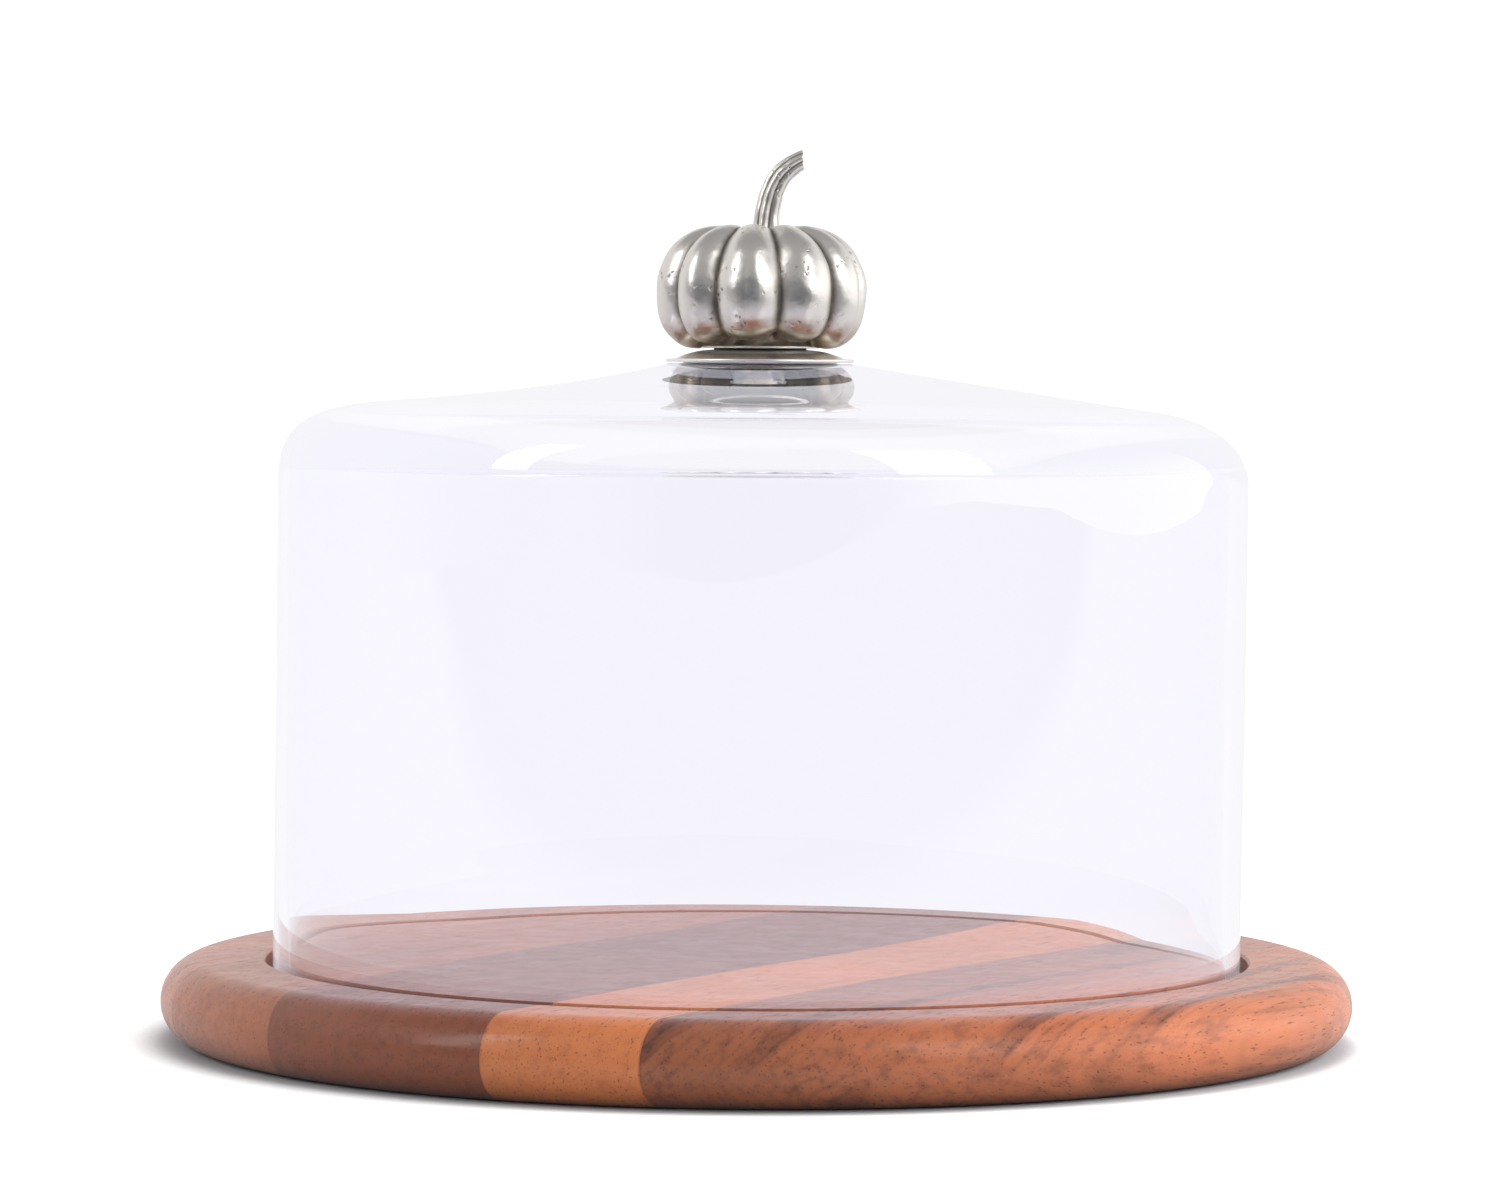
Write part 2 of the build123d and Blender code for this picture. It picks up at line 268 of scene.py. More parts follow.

# Display colours of the pale and dark wood, how streaked it is, where the growth rings are centred
# (across, up) in metres, and rise: painted light, how much brighter the wood is made at the board's lit
# edge.
Stave = namedtuple("Stave", "pale dark streak heart rise")
STAVE_LOOKS = {
    "board_stave_1": Stave((138, 82, 58), (98, 52, 36), 0.45, (-0.20, 0.060), 1.0),
    "board_stave_2": Stave((125, 70, 43), (95, 50, 31), 0.30, (-0.02, -0.150), 1.0),
    "board_stave_3": Stave((96, 48, 27), (73, 35, 19), 0.35, (-0.10, 0.110), 1.0),
    "board_stave_4": Stave((157, 90, 49), (129, 67, 34), 0.25, (0.09, 0.120), 1.0),
    # rise 1.52 on this stave is painted light, where the light from the right falls on the board's edge.
    "board_stave_5": Stave((120, 67, 41), (66, 34, 24), 0.90, (0.045, 0.050), 1.52),
}


def grain_noise(shader, local, stretch, scale, detail, roughness=0.5):
    """Noise drawn out along the grain; a smaller stretch makes longer marks."""
    return shader.noise(shader.vector_math("MULTIPLY", local, (stretch, 1.0, 1.0)), scale, detail, roughness)


def growth_rings(shader, heart, place, local, across):
    """Share of dark late wood: coarse and fine rings round a heart line, bent by slow noise."""
    up = shader.add("SeparateXYZ", Vector=place).outputs["Z"]
    from_heart = shader.add(
        "CombineXYZ", X=shader.math("SUBTRACT", across, heart[0]), Y=shader.math("SUBTRACT", up, heart[1])
    )
    distance = shader.vector_math("LENGTH", from_heart.outputs["Vector"])
    wander = shader.math("MULTIPLY", grain_noise(shader, local, 0.16, 26.0, 2.0), RING_WANDER)
    bent = shader.math("ADD", distance, wander)
    wave = shader.math("SINE", shader.math("MULTIPLY", bent, 2 * pi / RING_SPACING))
    fine_wave = shader.math("SINE", shader.math("MULTIPLY", bent, 2 * pi / FINE_RING_SPACING))
    coarse = shader.remap(wave, 0.35, 0.95, 0.0, 0.70)
    return shader.math("ADD", coarse, shader.remap(fine_wave, 0.3, 1.0, 0.0, 0.30))


def wood_tone(shader, look, rings, streaks, local, across):
    """Pale wood darkened by its rings and streaks, with a slow random change of tone, and painted light
    brightening the outermost stave.
    """
    broad = shader.remap(grain_noise(shader, local, 0.12, 34.0, 2.0), 0.35, 0.7)
    figure = shader.math("MULTIPLY", shader.math("MULTIPLY", rings, broad), look.streak)
    streak_share = shader.math("MULTIPLY", shader.remap(streaks, 0.44, 0.70), 0.45)
    dark_share = shader.math("MINIMUM", shader.math("ADD", figure, streak_share), 1.0)
    colour = shader.mix(dark_share, rgb(*look.pale), rgb(*look.dark))
    tone_and_painted_light = shader.remap(shader.noise(local, 14.0, 2.0), 0.3, 0.7, 0.90, 1.10)
    # Painted light: the outermost stave is made brighter towards the board's edge, where the light falls.
    tone_and_painted_light = shader.math("MULTIPLY", tone_and_painted_light, shader.remap(across, *PAINTED_LIGHT_SPAN, 1.0, look.rise))
    grey = shader.add("CombineColor", Red=tone_and_painted_light, Green=tone_and_painted_light, Blue=tone_and_painted_light).outputs[0]
    return shader.mix(1.0, colour, grey, "MULTIPLY")


def add_glue_lines(shader, colour, across, glue_lines):
    """Thin dark lines where this stave meets its neighbours."""
    glue = 0.0
    for line in glue_lines:
        gap = shader.math("ABSOLUTE", shader.math("SUBTRACT", across, line))
        glue = shader.math("MAXIMUM", glue, shader.remap(gap, 0.00010, 0.00060, 0.40, 0.0))
    return shader.mix(glue, colour, rgb(74, 36, 28))


def add_painted_groove_shade(shader, colour, place, groove):
    """Painted shade: wood darkened inside the groove, the recess that lies in shadow."""
    outside, inside = GROOVE_SHADE_EDGE
    radius = shader.vector_math("LENGTH", shader.vector_math("MULTIPLY", place, (1.0, 1.0, 0.0)))
    groove_shade_share = shader.math(
        "MULTIPLY",
        shader.remap(radius, groove[0] - outside, groove[0] + inside),
        shader.remap(radius, groove[1] - inside, groove[1] + outside, 1.0, 0.0),
    )
    return shader.mix(shader.math("MULTIPLY", groove_shade_share, 0.5), colour, rgb(66, 32, 26))


def oiled_surface(shader, colour, local, pores, fine_pores, streaks):
    """Satin oil finish: open pores are rougher and sunk, streaks slightly sunk, the whole gently wavy."""
    roughness = shader.remap(shader.noise(local, 120.0, 3.0), 0.3, 0.7, 0.40, 0.52, False)
    roughness = shader.math("ADD", roughness, shader.math("MULTIPLY", pores, 0.2))
    depth = shader.math("ADD", shader.math("MULTIPLY", pores, -1.0), shader.math("MULTIPLY", streaks, -0.25))
    depth = shader.math("ADD", depth, shader.math("MULTIPLY", fine_pores, -0.3))
    normal = shader.bump(depth, 0.00012, 0.6)
    normal = shader.bump(shader.noise(local, 45.0, 2.0), 0.0006, 0.35, normal)
    return shader.add(
        "BsdfPrincipled",
        Base_Color=colour,
        Roughness=roughness,
        IOR=1.35,
        Normal=normal,
        Coat_Weight=0.45,
        Coat_Roughness=0.17,
        Coat_IOR=1.35,
    )


def wood_material(name, look, seed, glue_lines, groove):
    """Oiled, fine-pored hardwood, patterned along the stave; its faces cut the pattern like real grain."""
    shader = Shader(name)
    place = shader.add("TexCoord").outputs["Object"]
    turned_place = shader.add("VectorRotate", {"rotation_type": "Z_AXIS"}, Vector=place, Angle=-GRAIN)
    local = shader.vector_math(
        "ADD", turned_place.outputs["Vector"], (seed * 0.731, seed * 0.377, seed * 0.193)
    )
    across = shader.vector_math("DOT_PRODUCT", place, tuple(ACROSS))
    rings = growth_rings(shader, look.heart, place, local, across)
    streaks = grain_noise(shader, local, 0.04, 300.0, 5.0, 0.65)
    colour = wood_tone(shader, look, rings, streaks, local, across)

    # Pores: short dark dashes along the grain, dots where it is cut across.
    pores = shader.remap(grain_noise(shader, local, 0.10, 1500.0, 1.0), 0.645, 0.70)
    fine_pores = shader.remap(grain_noise(shader, local, 0.05, 3600.0, 1.0), 0.55, 0.75)
    colour = shader.mix(shader.math("MULTIPLY", pores, 0.55), colour, rgb(62, 30, 24))
    colour = shader.mix(shader.math("MULTIPLY", fine_pores, 0.22), colour, rgb(84, 42, 30))

    colour = add_glue_lines(shader, colour, across, glue_lines)
    # Painted shade in the groove.
    colour = add_painted_groove_shade(shader, colour, place, groove)
    surface = oiled_surface(shader, colour, local, pores, fine_pores, streaks)
    return shader.finish(surface.outputs[0])


def dress_board():
    """Gives each stave its own wood. A side of a stave that is not the board's edge is a glue line."""
    groove = tuple(radius * MM for radius in groove_radii())
    for seed, (node, look) in enumerate(STAVE_LOOKS.items(), start=1):
        made = frame["nodes"][node]
        places = [v.co.dot(ACROSS) for v in made.data.vertices]
        glue_lines = [side for side in (min(places), max(places)) if abs(side) < cad_high.x * 0.9]
        dress(made, wood_material(node + "_wood", look, seed, glue_lines, groove))


def groove_radii():
    """Inner and outer radius of the board's groove, from the middle stave's own mesh."""
    floor_z = box_mm("glass_dome")[0].z
    corner_round, tolerance = 1.5, 0.02
    places = [v.co / MM for v in frame["nodes"]["board_stave_3"].data.vertices]
    radii = [place.to_2d().length for place in places if abs(place.z - floor_z) < tolerance]
    return min(radii) - corner_round, max(radii) + corner_round


# ---------------------------------------------------------------- glass

GLASS_WALL = 4.4
NECK_WALL = 13.4
NECK_HOLE = 6.2
NECK_LAND = 27.0
RIM_ROUND = GLASS_WALL / 2
SHOULDER_DROP = 36.0  # from the neck land down to where the outside starts to bend in
HOLLOW_DROP = 32.0  # the same for the inside
CROWN_RUN = 90.0  # unevenness grows from nothing at the neck land to its full size this far out
FULL_SIDE = Vector((-0.57, -0.57))  # the blown crown is fuller towards this side, straighter on the other
SHOULDER_LEAN = 1.2  # the shoulder stands this far off centre in x
WALL_SHIFT = -1.0  # the inside is off centre in x, so the wall is thicker on the right
WAVE = 0.22
# painted glow of the glass, standing in for the white surround seen through it
PAINTED_GLASS_GLOW = (0.93, 0.925, 0.985, 1.0)
CAUGHT_AFTER = 3.5  # bounces


def crown_outlines(outer, neck_z):
    """Outside from shoulder to neck land, with matching points: the straight side and the full side."""
    shoulder = (outer, neck_z - SHOULDER_DROP)
    land = (NECK_LAND, neck_z)
    straight_end = (118.0, neck_z - 14.1)
    full_end = (113.5, neck_z - 11.8)
    straight = join(
        bezier(shoulder, (outer, neck_z - 22.5), (131.0, neck_z - 16.1), straight_end, 50),
        bezier(straight_end, (93.0, neck_z - 10.3), (55.0, neck_z - 4.5), land, 60),
    )
    full = join(
        bezier(shoulder, (outer, neck_z - 18.6), (136.0, neck_z - 13.6), full_end, 50),
        bezier(full_end, (95.0, neck_z - 10.1), (62.0, neck_z - 8.4), land, 60),
    )
    return straight, full


def crown_inside(inner, neck_z):
    """Inside of the crown, from neck to wall: flatter than the outside, so the glass thickens inwards."""
    bend_start = (106.0, neck_z - 17.2)
    wall_top = (inner, neck_z - HOLLOW_DROP)
    underside = neck_z - NECK_WALL
    return join(
        bezier((NECK_LAND, underside), (50.0, underside), (80.0, neck_z - 14.5), bend_start, 30),
        bezier(bend_start, (124.0, neck_z - 19.0), (inner, neck_z - 28.0), wall_top, 60),
    )


def glass_outlines(low, high):
    """Closed outlines of the straight side and the full side: up the outside, down the neck hole, back along
    the inside, round the rim. Also whether each point belongs to the inside."""
    outer, rim_z, neck_z = high.x, low.z, high.z
    inner = outer - GLASS_WALL
    wall_foot = rim_z + RIM_ROUND
    outside = [(outer, z) for z in np.linspace(wall_foot, neck_z - SHOULDER_DROP, 40)[:-1]]
    inside = [(inner, z) for z in np.linspace(neck_z - HOLLOW_DROP, wall_foot, 40)[1:]]
    rim = arc((outer - RIM_ROUND, wall_foot), RIM_ROUND, 180, 360, 16)[1:-1]
    hole = [(NECK_HOLE, neck_z), (NECK_HOLE, neck_z - NECK_WALL)]
    straight, full = crown_outlines(outer, neck_z)
    shared = (hole, crown_inside(inner, neck_z), inside, rim)
    first = np.concatenate((outside, straight, *shared))
    second = np.concatenate((outside, full, *shared))
    top_of_hole = len(outside) + len(straight)
    return first, second, np.arange(len(first)) > top_of_hole


def glass_rings(low, high):
    """Rings of the closed glass skin, blended round the dome from the straight side to the full side."""
    rim_z, shoulder_z = low.z, high.z - SHOULDER_DROP
    turns = np.linspace(0.0, 2 * pi, 360, endpoint=False)
    fuller = [fade(0.5 + cos(a) * FULL_SIDE.x + sin(a) * FULL_SIDE.y, 0.0, 1.0) for a in turns]
    rings = []
    for straight, full, is_inside in zip(*glass_outlines(low, high)):
        ring = []
        for angle, share in zip(turns, fuller):
            radius, height = straight + (full - straight) * share
            up = fade(height, rim_z, shoulder_z)
            out = fade(radius, NECK_LAND, NECK_LAND + CROWN_RUN)
            shift = SHOULDER_LEAN * up * out * out
            if is_inside:
                shift += WALL_SHIFT * min(1.0, up * 6.0) * out
            radius += glass_wave(angle, height) * out
            ring.append((shift + radius * cos(angle), radius * sin(angle), height))
        rings.append(ring)
    return rings


def glass_wave(angle, height):
    """Slow, slight unevenness of a hand-blown wall, in millimetres."""
    place = Vector((cos(angle) * 1.3, sin(angle) * 1.3, height / 70.0))
    return noise.noise(place) * WAVE


def glass_material():
    """Clear glass with a faint lavender cast. Shadow rays pass, so the inside is lit as it is in life.
    Light still caught in the glass after several turns ends on a painted glow of the cast colour."""
    shader = Shader("clear_glass")
    place = shader.add("TexCoord").outputs["Object"]
    ripple = shader.noise(shader.vector_math("MULTIPLY", place, (1.0, 1.0, 0.25)), 18.0, 1.0)
    glass = shader.add(
        "BsdfPrincipled",
        Base_Color=(0.955, 0.950, 0.990, 1.0),
        Roughness=0.0,
        IOR=1.5,
        Transmission_Weight=1.0,
        Normal=shader.bump(ripple, 0.0001, 0.1),
    )
    clear = shader.add("BsdfTransparent", Color=(0.95, 0.95, 0.965, 1.0))
    ray = shader.add("LightPath")
    # Painted glow once a ray has turned more than CAUGHT_AFTER times.
    glass_or_painted_glow = shader.add("MixShader", Fac=shader.math("GREATER_THAN", ray.outputs["Ray Depth"], CAUGHT_AFTER))
    shader.feed(glass_or_painted_glow.inputs[1], glass.outputs[0])
    shader.feed(glass_or_painted_glow.inputs[2], shader.add("Emission", Color=PAINTED_GLASS_GLOW).outputs[0])
    mixed = shader.add("MixShader", Fac=ray.outputs["Is Shadow Ray"])
    shader.feed(mixed.inputs[1], glass_or_painted_glow.outputs[0])
    shader.feed(mixed.inputs[2], clear.outputs[0])
    return shader.finish(mixed.outputs[0])


def make_glass():
    """The blown dome, in place of the CAD one."""
    low, high = box_mm("glass_dome")
    made = skin("blown_glass", glass_rings(low, high), True)
    mark_sharp(made, degrees_limit=35)
    dress(made, glass_material())
    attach(made, "cover")
    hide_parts("glass_dome")


# ---------------------------------------------------------------- pewter

FRONT_VALLEYS = (-60.0, -28.5, 12.0, 49.5, 79.0)  # degrees from -Y towards +X, as in the CAD
BACK_LOBES = 7
LOBE_BEND = radians(58.0)  # each lobe is close to a circular arc this far to each side of its crest
WIDEST_UP = 15.8  # the pumpkin is widest this far above its underside
DIMPLE_RADIUS = 15.5
PUMPKIN_COLUMNS = 560


def valley_angles():
    """Directions of all valleys, rising from the first."""
    step = (360 + FRONT_VALLEYS[0] - FRONT_VALLEYS[-1]) / BACK_LOBES
    return [*FRONT_VALLEYS, *(FRONT_VALLEYS[-1] + step * k for k in range(1, BACK_LOBES))]


def lobe_place(angle, valleys):
    """Where an angle falls in its lobe: -1 and 1 at the valleys, 0 on the crest, and the lobe's number."""
    turned_angle = (angle - valleys[0]) % 360 + valleys[0]
    edges = [*valleys, valleys[0] + 360]
    for number, (start, end) in enumerate(zip(edges, edges[1:])):
        if start <= turned_angle <= end:
            return (2 * turned_angle - start - end) / (end - start), number
    raise ValueError(angle)


def pumpkin_line(low, high):
    """Crest line of a lobe: from the dimple, over the top, down and under, to the foot's opening."""
    top, bottom = high.z, low.z
    dimple_side = (7.4, top - 1.5)
    shoulder = (DIMPLE_RADIUS, top)
    widest = (high.x + 0.3, bottom + WIDEST_UP)
    under = (20.0, bottom - 0.5)
    return join(
        bezier((0.0, top - 3.6), (3.0, top - 3.6), (5.0, top - 3.3), dimple_side, 10),
        bezier(dimple_side, (9.8, top + 0.2), (12.5, top + 0.55), shoulder, 14),
        bezier(shoulder, (27.5, top - 2.3), (widest[0], top - 11.3), widest, 54),
        bezier(widest, (widest[0], bottom + 6.6), (28.3, bottom - 0.2), under, 44),
        bezier(under, (17.5, bottom - 0.6), (15.0, bottom + 0.6), (13.2, bottom + 2.6), 12),
    )


def pumpkin_inside(low, high):
    """Plain closed hollow, from the foot's opening up to its roof on the axis."""
    belly, roof_z = 24.4, high.z - 6.6
    return [(12.9, low.z + 3.4), (belly, low.z + 9.0), (belly, high.z - 14.0), (12.0, roof_z), (0.0, roof_z)]


def pumpkin_ring(crest, normal, turns, lobes, low, high):
    """One ring of the lobed skin, and how deep in a valley each of its points lies."""
    radius, height = crest
    normal_r, normal_z = normal
    depth = valley_depth(radius, height, low, high)
    widest_z = low.z + WIDEST_UP
    ring, patina = [], []
    for angle, (across, lobe) in zip(turns, lobes):
        round_share = (cos(LOBE_BEND * across) - cos(LOBE_BEND)) / (1 - cos(LOBE_BEND))
        sink = depth * (1 - round_share) + front_crease(angle, height, low, high)
        r = radius - normal_r * sink
        z = height - normal_z * sink
        if z < widest_z:
            z = widest_z - (widest_z - z) * lobe_length(angle, lobe)
        way = Vector((sin(radians(angle)), -cos(radians(angle))))
        place = Vector((r * way.x, r * way.y, z))
        dent = noise.noise(place / 9.0) * 0.30 + noise.noise(place / 3.1) * 0.06
        place += Vector((normal_r * way.x, normal_r * way.y, normal_z)) * dent
        ring.append(tuple(place))
        patina.append(1 - round_share)
    return ring, patina


def make_pumpkin_body():
    """Cast pumpkin with full, uneven lobes, tight valleys, soft dents and a closed inside."""
    low, high = box_mm("pumpkin_body")
    line = pumpkin_line(low, high)
    steps = np.gradient(line, axis=0)
    normals = np.stack((-steps[:, 1], steps[:, 0]), 1)
    normals /= np.linalg.norm(normals, axis=1)[:, None]
    turns = [360.0 * k / PUMPKIN_COLUMNS - 180.0 for k in range(PUMPKIN_COLUMNS)]
    valleys = valley_angles()
    lobes = [lobe_place(a, valleys) for a in turns]
    rings, patina = [[(0.0, 0.0, line[0][1])]], [0.8]
    for crest, normal in zip(line[1:], normals[1:]):
        ring, stain = pumpkin_ring(crest, normal, turns, lobes, low, high)
        rings.append(ring)
        patina.extend(stain)
    for radius, height in pumpkin_inside(low, high):
        is_pole = radius < ON_AXIS
        around = [0.0] if is_pole else turns
        rings.append([(radius * sin(radians(a)), -radius * cos(radians(a)), height) for a in around])
        patina.extend([0.5] * len(around))
    made = skin("cast_pumpkin", rings, False)
    point_attribute(made, "patina", patina)
    return made


def valley_depth(radius, height, low, high):
    """How far the valleys sink below the crests, in millimetres."""
    if height > high.z - 6 and radius < DIMPLE_RADIUS:
        return 0.2 + 1.5 * fade(radius, 4.0, DIMPLE_RADIUS)
    below_top = fade(high.z - height, 0.0, 9.0)
    above_underside = fade(height - low.z, -1.5, 4.5)
    return 1.8 + 2.2 * sqrt(below_top) * sqrt(above_underside)


def lobe_length(angle, lobe):
    """Stretch of the lower half: front lobes stop short of the foot's edge, those at the side reach it."""
    return 0.87 + 0.15 * fade(abs(angle), 10.0, 75.0) + 0.012 * sin(lobe * 2.4)


def front_crease(angle, height, low, high):
    """Shallow fold down the middle of the front lobe."""
    middle, half_width, depth = -6.5, 2.2, 0.32
    side = (angle - middle) / half_width
    along = fade(high.z - height, 9.0, 17.0) * fade(height - low.z, 0.0, 4.0)
    return depth * exp(-side * side) * along


STEM_COLUMNS = 96
STEM_STATIONS = (0.0, 0.15, 0.4, 0.7, 1.0)  # shares of the stem's length
STEM_RADII = (4.6, 3.9, 3.55, 3.3, 2.85)  # its radius at each of them
STEM_CUT = ((0.86, 0.05, 0.4), (0.62, -0.35, 0.9), (0.30, -0.75, 1.0))  # size, height and stain of its rings


def stem_ring(centre, tangent, share):
    """Ring of a six-ridged stem, and how deep in a groove each point lies. The last tenth is slanted."""
    side = np.array((0.0, 1.0, 0.0))
    up = np.cross(tangent, side)
    radius = np.interp(share, STEM_STATIONS, STEM_RADII)
    ring, patina = [], []
    for j in range(STEM_COLUMNS):
        turn = 2 * pi * j / STEM_COLUMNS
        ridge = 0.5 + 0.5 * cos(6 * (turn + 0.18) + 0.5 * sin(share * 3.0))
        crest = ridge ** 0.55
        wobble = 0.05 * noise.noise(Vector((cos(turn), sin(turn), share * 5.0)) * 1.4)
        r = radius * (0.82 + 0.20 * crest + wobble)
        slant = 0.9 * cos(turn) * fade(share, 0.9, 1.0)
        point = centre + r * (cos(turn) * up + sin(turn) * side) + slant * tangent
        ring.append(tuple(point))
        patina.append(1 - crest)
    return ring, patina


def make_stem():
    """Ridged stem, spread at its root, bent over, with a rough oblique cut."""
    low, high = box_mm("pumpkin_stem")
    root, tip = (1.6, 0.0, low.z - 0.3), (high.x - 1.2, 0.0, high.z - 2.4)
    path = bezier(root, (1.4, 0.0, low.z + 12.9), (4.6, 0.0, low.z + 19.8), tip, 60)
    tangents = np.gradient(path, axis=0)
    tangents /= np.linalg.norm(tangents, axis=1)[:, None]
    rings, patina = [[tuple(path[0])]], [1.0]
    for k, (centre, tangent) in enumerate(zip(path, tangents)):
        ring, stain = stem_ring(centre, tangent, k / (len(path) - 1))
        rings.append(ring)
        patina.extend(stain)
    last = np.array(rings[-1])
    middle = last.mean(0)
    for size, rise, stain in STEM_CUT:
        rings.append([tuple(middle + (p - middle) * size + tangents[-1] * rise) for p in last])
        patina.extend([stain] * STEM_COLUMNS)
    rings.append([tuple(middle - tangents[-1] * 0.8)])
    patina.append(1.0)
    made = skin("cast_stem", rings, False)
    point_attribute(made, "patina", patina)
    return made


def foot_outline(radius, bottom, top):
    """Spigot and boss hidden inside the pumpkin, the flare that shows, and the hole for the screw."""
    spigot, boss, screw = 6.5, 12.4, 3.0
    boss_top, hole_end = bottom + 7.0, bottom + 15.0
    collar = (boss, bottom + 6.2)
    waist = (15.2, bottom + 3.4)
    edge_top = (radius - 0.3, bottom + 0.8)
    edge_end = (radius - 0.2, bottom)
    return join(
        [(0.0, top), (spigot, top), (spigot, boss_top), (boss, boss_top), collar],
        bezier(collar, (13.4, bottom + 5.8), (14.6, bottom + 4.4), waist, 10),
        bezier(waist, (15.7, bottom + 2.4), (16.2, bottom + 1.7), edge_top, 14),
        bezier(edge_top, (radius + 0.1, bottom + 0.6), (radius, bottom + 0.2), edge_end, 8),
        [(screw, bottom), (screw, hole_end), (0.0, hole_end)],
    )


def make_foot():
    """Flared foot; its upper side runs up between the lobes in rough cusps."""
    low, high = box_mm("pumpkin_foot")
    flare_start = 12.8
    made = turned("cast_foot", foot_outline(high.x, low.z, high.z), 240, crease=40)
    valleys = valley_angles()
    for vertex in made.data.vertices:
        x, y, z = vertex.co / MM
        r = sqrt(x * x + y * y)
        up = z - low.z
        if r > flare_start and up > 0.3:
            across, _ = lobe_place(np.degrees(atan2(x, -y)), valleys)
            cusp = 1.3 * abs(across) ** 6 * fade(up, 1.2, 3.7)
            rough = noise.noise(Vector((x, y, z)) / 1.3) * 0.16 + noise.noise(Vector((x, y, z)) / 3.6) * 0.22
            move = (cusp + rough * min(1.0, up)) * MM
            vertex.co += Vector((x / r * move, y / r * move, 0.0))
    return made


def make_top_escutcheon():
    """Low domed plate under the knob, hollow below, with a soft bead at its rim."""
    low, high = box_mm("top_escutcheon")
    radius, bottom, top = high.x, low.z, high.z
    hole, land, hollow, bead = 3.3, 13.5, 23.5, 0.55
    ceiling = bottom + 0.7
    brim = (25.2, top - 2.6)
    outline = join(
        [(hole, top), (land, top)],
        bezier((land, top), (18.5, top - 0.1), (22.3, top - 1.2), brim, 24),
        bezier(brim, (26.1, top - 3.05), (26.6, top - 3.15), (27.2, bottom + 0.9), 8),
        arc((radius - bead, bottom + 0.5), bead, 100, -90, 14),
        [(hollow, bottom), (hollow, ceiling), (hole, ceiling), (hole, top)],
    )
    return turned("spun_escutcheon", outline, 256, crease=40)


def casting_pits(shader, place):
    """Small ragged pits, only where a slow noise allows them."""
    shaken = shader.add("TexNoise", Vector=place, Scale=900.0, Detail=2.0).outputs["Color"]
    ragged = shader.vector_math("MULTIPLY_ADD", shaken, (0.0016, 0.0016, 0.0016), place)
    cells = shader.add("TexVoronoi", Vector=ragged, Scale=420.0, Randomness=1.0)
    allowed = shader.remap(shader.noise(place, 95.0, 2.0), 0.54, 0.62)
    return shader.math("MULTIPLY", shader.remap(cells.outputs["Distance"], 0.08, 0.30, 1.0, 0.0), allowed)


def painted_board_reflection(shader, place, cloudy):
    """Painted reflection of the brown wooden board on the pumpkin's underside, fading out upwards along an
    uneven line.
    """
    height = shader.add("SeparateXYZ", Vector=place).outputs["Z"]
    uneven = shader.math("ADD", height, shader.math("MULTIPLY", cloudy, 0.006))
    return shader.remap(uneven, 0.2120, 0.2200, 0.55, 0.0)


def pewter_relief(shader, place, pits):
    """Normal with pits, grit, fine scratches and the slow unevenness of a casting."""
    grit = shader.noise(place, 1500.0, 3.0, 0.6)
    scratches = shader.noise(shader.vector_math("MULTIPLY", place, (1.0, 1.0, 0.12)), 2600.0, 2.0)
    height = shader.math("ADD", shader.math("MULTIPLY", pits, -1.0), shader.math("MULTIPLY", grit, 0.10))
    height = shader.math("ADD", height, shader.math("MULTIPLY", scratches, 0.06))
    hammered = shader.noise(place, 230.0, 3.0, 0.55)
    return shader.bump(hammered, 0.0008, 0.26, shader.bump(height, 0.00025, 0.7))


def pewter_material(name, has_folds, tint, satin):
    """Pewter: satin bright, dull in patches and in the folds of a casting, with small pits."""
    shader = Shader(name)
    place = shader.add("TexCoord").outputs["Object"]
    cloudy = shader.noise(place, 130.0, 4.0, 0.6)
    if has_folds:
        stain = shader.add("Attribute", {"attribute_name": "patina"}).outputs["Fac"]
    else:
        stain = shader.remap(shader.noise(place, 160.0, 2.0), 0.45, 0.75, 0.0, 0.4)
    dull = shader.remap(shader.math("ADD", stain, shader.math("MULTIPLY", cloudy, 0.35)), 0.70, 1.20)
    colour = shader.mix(dull, (*tint, 1.0), rgb(112, 104, 97))
    if has_folds:
        # Painted reflection: the brown board mirrored low on the pumpkin.
        colour = shader.mix(painted_board_reflection(shader, place, cloudy), colour, rgb(158, 134, 100))
    pits = casting_pits(shader, place)
    colour = shader.mix(shader.math("MULTIPLY", pits, 0.55), colour, rgb(74, 66, 60))
    roughness = shader.remap(cloudy, 0.3, 0.7, 0.27, 0.37, False)
    roughness = shader.math("ADD", roughness, shader.math("MULTIPLY", dull, 0.22))
    surface = shader.add(
        "BsdfPrincipled",
        Base_Color=colour,
        Metallic=1.0,
        Roughness=shader.math("ADD", roughness, satin),
        Normal=pewter_relief(shader, place, pits),
    )
    return shader.finish(surface.outputs[0])


def make_pewter():
    """All pewter. What shows best gets a finer mesh for its CAD node; the lower plate keeps its CAD mesh."""
    cast = pewter_material("cast_pewter", has_folds=True, tint=(0.72, 0.69, 0.65), satin=0.0)
    # Lighter, slightly rougher copy for the foot and plates: the lighter tint is painted light, the
    # roughness a finish.
    lit_pewter = pewter_material("lit_rougher_pewter", has_folds=False, tint=(0.84, 0.82, 0.79), satin=0.04)
    for made, body, node, pewter in (
        (make_pumpkin_body(), "knob", "pumpkin_body", cast),
        (make_stem(), "knob", "pumpkin_stem", cast),
        (make_foot(), "knob", "pumpkin_foot", lit_pewter),
        (make_top_escutcheon(), "cover", "top_escutcheon", lit_pewter),
    ):
        dress(made, pewter)
        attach(made, body)
        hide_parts(node)
    dress(frame["nodes"]["lower_escutcheon"], lit_pewter)


# ---------------------------------------------------------------- fixings

